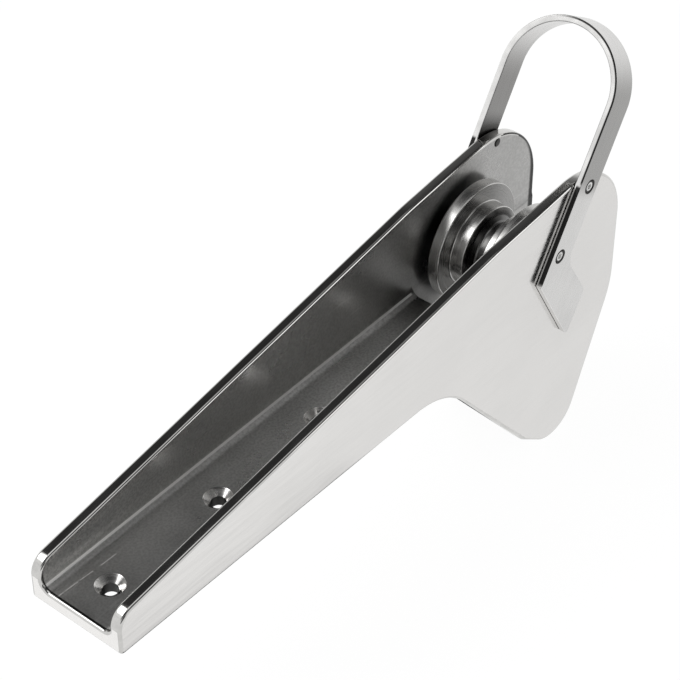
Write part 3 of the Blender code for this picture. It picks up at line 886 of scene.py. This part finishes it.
class BOWROLLER_OT_bail(bpy.types.Operator):
    """Cut the bail from flat bar, bend it over the roller and ease its edges"""
    bl_idname = "bow_roller.bail"
    bl_label = "Bail"

    def execute(self, context):
        bail = context.scene.bow_roller_bail
        look = context.scene.bow_roller_finishes
        middle = HALF_WIDTH + CLEARANCE + bail.thick / 2
        arch = math.pi * middle
        half = arch / 2
        one_end = [
            (half + bail.heel_drop, 0.0, bail.foot_radius),
            (half + bail.toe_drop, bail.foot_reach, bail.foot_radius),
            (half + bail.toe_top_drop, bail.foot_reach, bail.foot_radius),
            (half + bail.instep_foot_drop, bail.width + bail.instep_out, bail.instep_radius),
            (half + bail.instep_drop, bail.width, bail.instep_radius),
        ]
        other_end = [(-a, b, r) for a, b, r in reversed(one_end)]
        pattern = rounded(one_end + other_end, steps_per_turn=80)
        bar = outline_face("bail_bar", pattern, lambda p: Vector((p.x, p.y, -bail.thick / 2)))
        extrude(bar, (0, 0, bail.thick))
        bends = 72
        bisect(bar, [(arch * (i / bends - 0.5), 0, 0) for i in range(bends + 1)], (1, 0, 0))
        s, c = math.sin(bail.lean), math.cos(bail.lean)
        for vert in bar.data.vertices:
            along, across, out = vert.co
            run = min(max(along, -half), half)
            angle, radius = run / middle, middle + out
            up = radius * math.cos(angle) - (abs(along) - abs(run))
            vert.co = (AFT_X + bail.spring_x + up * s + across * c, radius * math.sin(angle),
                       bail.spring_z + up * c - across * s)
        activate(bar)
        bpy.ops.object.mode_set(mode="EDIT")
        face_outwards()
        finish_with(bar, "BEVEL", width=bail.edge, segments=3, limit_method="ANGLE",
                    angle_limit=math.radians(40), use_clamp_overlap=False, miter_outer="MITER_SHARP")
        for x, z in screw_points(bail):
            carve(bar, self.countersink_cutter(bail, x, z))
        # Painted light on the arch and the outer foot, painted shade on the legs, the inner faces and the
        # inner foot.
        outer = brushed_bar(
            look, bail, "bar_outer_face", toned(look.bar_bright, 0.9), look.bar, look.bar_bright,
            (-0.034, -0.006, 0.044, 0.058))
        inner = brushed_bar(
            look, bail, "bar_inner_face", toned(look.bar_inside, 0.2), look.bar_inside, look.bar_bright,
            (-0.03, 0.012, 0.030, 0.044))
        for mat in (outer, bar_edge_steel(look, bail), inner, shaded_steel(look)):
            bar.data.materials.append(mat)
        self.sort_faces(bar, bail)
        smooth(bar, 35)
        finished(bar, "bail")
        return {"FINISHED"}

    def countersink_cutter(self, bail, x, z):
        """A drill through both legs that opens into a cone at each outer face."""
        face = HALF_WIDTH + CLEARANCE + bail.thick
        sink = bail.sink_radius - bail.hole_radius
        half = [(0.0, face + 0.01), (bail.sink_radius + 0.0005, face + 0.01),
                (bail.sink_radius + 0.0005, face + 0.0005), (bail.hole_radius, face - sink)]
        profile = half + [(radius, -height) for radius, height in reversed(half)]
        return lathe("countersink_cutter", [Vector(p) for p in profile], Vector((x, 0, z)), 64)

    def sort_faces(self, bar, bail):
        """Gives outer and inner faces the brushed finish, edges the bright one, countersinks shade."""
        s, c = math.sin(bail.lean), math.cos(bail.lean)
        root = Vector((AFT_X + bail.spring_x, 0, bail.spring_z))
        sinks = screw_points(bail)
        reach = bail.sink_radius
        for face in bar.data.polygons:
            out = face.center - root
            up = out.x * s + out.z * c
            radial = Vector((s * up, out.y, c * up)) if up > 0 else Vector((0, out.y, 0))
            facing = face.normal.dot(radial.normalized())
            face.material_index = 0 if facing > 0.95 else 2 if facing < -0.95 else 1
            if abs(facing) < 0.95 and min(
                    math.hypot(face.center.x - x, face.center.z - z) for x, z in sinks) < reach:
                face.material_index = 3


class BOWROLLER_OT_fixings(bpy.types.Operator):
    """Turn the four countersunk screws and give the pin its finish"""
    bl_idname = "bow_roller.fixings"
    bl_label = "Fixings"

    def execute(self, context):
        look = context.scene.bow_roller_finishes
        sizes = context.scene.bow_roller_screws
        metals = fixing_steel(look), shaded_steel(look), socket_steel(look)
        for level in ("upper", "lower"):
            for name, side in SIDES.items():
                node = f"screw_{level}_{name}"
                self.screw(node, side, sizes, metals)
        for slot in frame["nodes"]["axle_pin"].material_slots:
            slot.material = metals[0]
        return {"FINISHED"}

    def screw(self, node, side, sizes, metals):
        """Turns one screw as long as its node, with its head outwards."""
        low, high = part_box(node)
        centre = (low + high) / 2
        crown = max(abs(low.y), abs(high.y))
        tip = min(abs(low.y), abs(high.y))
        head = (high.z - low.z) / 2
        shank, key, depth = sizes.shank, sizes.key, sizes.depth
        edge, ring = sizes.edge, sizes.ring
        foot = crown - edge - (head - shank)
        profile = rounded([
            (0.0, crown - depth, 0), (key * 0.97, crown - depth, 0.0001),
            (key * 1.05, crown, 0.00015), (head - ring, crown, 0), (head - edge, crown, 0.0001),
            (head, crown - edge, 0.0001),
            (shank, foot, 0.0004), (shank, tip, 0.0005), (0.0, tip, 0)], steps_per_turn=40)
        place = Vector((centre.x, 0, centre.z))
        screw = lathe(f"{node}_countersunk", profile, place, 48, axis=(0, side, 0))
        for metal in metals:
            screw.data.materials.append(metal)
        for face in screw.data.polygons:
            out = face.center - place
            from_axis = math.hypot(out.x, out.z)
            # Painted shade on the head's outer ring and on the tip.
            if from_axis > head - ring or abs(face.center.y) < tip + 0.0006:
                face.material_index = 1
            else:
                face.material_index = 2 if from_axis < key * 1.02 else 0
        self.hex_socket(screw, place, crown, key)
        smooth(screw, 30)
        finished(screw, node)

    def hex_socket(self, screw, place, crown, key):
        """Presses the round recess into a hexagon, as a key socket has."""
        for vert in screw.data.vertices:
            out = vert.co - place
            radius = math.hypot(out.x, out.z)
            if radius > key * 1.03 or abs(vert.co.y) < crown - 0.002 or radius < key * 0.5:
                continue
            angle = math.atan2(out.z, out.x)
            sector = (angle + math.pi / 6) % (math.pi / 3) - math.pi / 6
            reach = key * math.cos(math.pi / 6) / math.cos(sector) / radius
            vert.co.x = place.x + out.x * reach
            vert.co.z = place.z + out.z * reach


class BOWROLLER_OT_bearings(bpy.types.Operator):
    """Give the bushes and spacers their resin"""
    bl_idname = "bow_roller.bearings"
    bl_label = "Bearings"

    def execute(self, context):
        resin = bearing_resin(context.scene.bow_roller_finishes)
        for kind in ("bush", "spacer"):
            for name in SIDES:
                for slot in frame["nodes"][f"{kind}_{name}"].material_slots:
                    slot.material = resin
        return {"FINISHED"}


class BOWROLLER_OT_stage(bpy.types.Operator):
    """Set the floor, the studio light and the camera"""
    bl_idname = "bow_roller.stage"
    bl_label = "Stage"

    def execute(self, context):
        stage = context.scene.bow_roller_stage
        self.floor(stage)
        self.world()
        self.lamps()
        self.camera(stage)
        context.scene.view_settings.view_transform = "Standard"
        return {"FINISHED"}

    def floor(self, stage):
        """White for the camera with a faint shadow, and pale for what the metal shows, with painted shadows
        in it.
        """
        deselect()
        bpy.ops.mesh.primitive_plane_add(size=30, location=(0, 0, CHANNEL_LOW.z - 0.0005))
        floor = bpy.context.active_object
        floor.name = "studio_floor"
        mat = Recipe("studio_floor", metallic=0.0)
        mat.colour(stage.floor_tone)
        mat.roughness(0.9)
        mat.shader.inputs["Specular IOR Level"].default_value = 0.0
        path = mat.add("ShaderNodeLightPath")
        x, y, _ = mat.axes()
        # Painted shadows: the floor the metal sees goes dark under and beside the channel.
        from_shades = [
            mat.length(mat.beyond(x, *along), mat.beyond(y, *across)) for along, across in FLOOR_PAINTED_SHADOWS]
        outside_painted_shadow = mat.spread(mat.math("MINIMUM", *from_shades), 0.0, 0.035)
        mirrored = self.glow(mat, mat.blend(outside_painted_shadow, (0.03, 0.03, 0.03), stage.floor_tone), 1.0)
        shown = self.glow(mat, (1.0, 1.0, 1.0), 1.08)
        to_metal = self.either(mat, path.outputs["Is Glossy Ray"], mat.shader.outputs[0], mirrored)
        to_eye = self.either(mat, mat.product(path.outputs["Is Camera Ray"], 0.88), to_metal, shown)
        mat.join(to_eye, mat.tree.nodes["Material Output"].inputs["Surface"])
        floor.data.materials.append(mat.material)

    def glow(self, mat, colour, strength):
        node = mat.add("ShaderNodeEmission")
        mat.join(colour, node.inputs["Color"])
        mat.join(strength, node.inputs["Strength"])
        return node.outputs[0]

    def either(self, mat, share, first, second):
        """The second surface for a share of the rays, and the first for the rest."""
        node = mat.add("ShaderNodeMixShader")
        for source, socket in zip((share, first, second), node.inputs):
            mat.join(source, socket)
        return node.outputs[0]

    def world(self):
        """White for the camera. The metal sees SKY, with the patches laid over it."""
        world = bpy.data.worlds.new("studio")
        bpy.context.scene.world = world
        world.use_nodes = True
        nodes = Nodes(world.node_tree)
        place = nodes.add("ShaderNodeTexCoord").outputs["Generated"]
        ramp = nodes.add("ShaderNodeValToRGB")
        stops = ramp.color_ramp.elements
        stops[0].position, stops[1].position = SKY[0][0], SKY[-1][0]
        for position, _ in SKY[1:-1]:
            stops.new(position)
        for stop, (_, level) in zip(stops, SKY):
            stop.color = (level, level, level, 1)
        nodes.join(nodes.apart(place)["Z"], ramp.inputs["Fac"])
        seen = ramp.outputs["Color"]
        for toward, begins, full, level in SKY_PATCHES:
            near = nodes.add("ShaderNodeVectorMath", operation="DOT_PRODUCT")
            nodes.join(place, near.inputs[0])
            nodes.join(toward, near.inputs[1])
            share = nodes.spread(near.outputs["Value"], begins, full)
            seen = nodes.blend(share, seen, (level, level, level))
        path = nodes.add("ShaderNodeLightPath")
        seen = nodes.blend(path.outputs["Is Camera Ray"], seen, (1.0, 1.0, 1.0))
        back = world.node_tree.nodes["Background"]
        nodes.join(seen, back.inputs["Color"])
        nodes.join(1.0, back.inputs["Strength"])

    def lamps(self):
        for name, place, width, power in LAMPS:
            light = bpy.data.lights.new(name, "AREA")
            light.energy = power
            light.size = width
            lamp = bpy.data.objects.new(name, light)
            bpy.context.scene.collection.objects.link(lamp)
            lamp.location = place
            aim = LAMP_AIM - lamp.location
            lamp.rotation_euler = aim.to_track_quat("-Z", "Y").to_euler()

    def camera(self, stage):
        a, e = stage.azimuth, stage.elevation
        back = Vector((math.sin(a) * math.cos(e), -math.cos(a) * math.cos(e), math.sin(e)))
        data = bpy.data.cameras.new("photo_view")
        data.sensor_width = 36
        data.sensor_fit = "HORIZONTAL"
        data.lens = stage.lens
        camera = bpy.data.objects.new("photo_view", data)
        bpy.context.scene.collection.objects.link(camera)
        camera.location = Vector(stage.aim) + back * stage.distance
        camera.rotation_euler = back.to_track_quat("Z", "Y").to_euler()
        bpy.context.scene.camera = camera


class BOWROLLER_PT_pieces(bpy.types.Panel):
    """Lists the pieces in the order they are made"""
    bl_idname = "BOWROLLER_PT_pieces"
    bl_label = "Bow Roller"
    bl_space_type = "VIEW_3D"
    bl_region_type = "UI"
    bl_category = "Bow Roller"

    def draw(self, context):
        for operator in OPERATORS:
            self.layout.operator(operator.bl_idname)
        for name in GROUPS:
            box = self.layout.box()
            group = getattr(context.scene, name)
            for key in group.bl_rna.properties.keys():
                if key not in ("rna_type", "name"):
                    box.prop(group, key)


OPERATORS = (
    BOWROLLER_OT_channel,
    BOWROLLER_OT_roller,
    BOWROLLER_OT_bail,
    BOWROLLER_OT_fixings,
    BOWROLLER_OT_bearings,
    BOWROLLER_OT_stage,
)
GROUPS = {
    "bow_roller_channel": ChannelSizes,
    "bow_roller_roller": RollerSizes,
    "bow_roller_bail": BailSizes,
    "bow_roller_screws": ScrewSizes,
    "bow_roller_finishes": Finishes,
    "bow_roller_stage": StageSettings,
}


def register():
    for group in GROUPS.values():
        bpy.utils.register_class(group)
    for name, group in GROUPS.items():
        setattr(bpy.types.Scene, name, PointerProperty(type=group))
    for operator in OPERATORS:
        bpy.utils.register_class(operator)
    bpy.utils.register_class(BOWROLLER_PT_pieces)


def unregister():
    bpy.utils.unregister_class(BOWROLLER_PT_pieces)
    for operator in reversed(OPERATORS):
        bpy.utils.unregister_class(operator)
    for name, group in reversed(list(GROUPS.items())):
        delattr(bpy.types.Scene, name)
        bpy.utils.unregister_class(group)


def main():
    deselect()
    register()
    bpy.ops.bow_roller.channel()
    bpy.ops.bow_roller.roller()
    bpy.ops.bow_roller.bail()
    bpy.ops.bow_roller.fixings()
    bpy.ops.bow_roller.bearings()
    bpy.ops.bow_roller.stage()


if __name__ == "__main__":
    main()
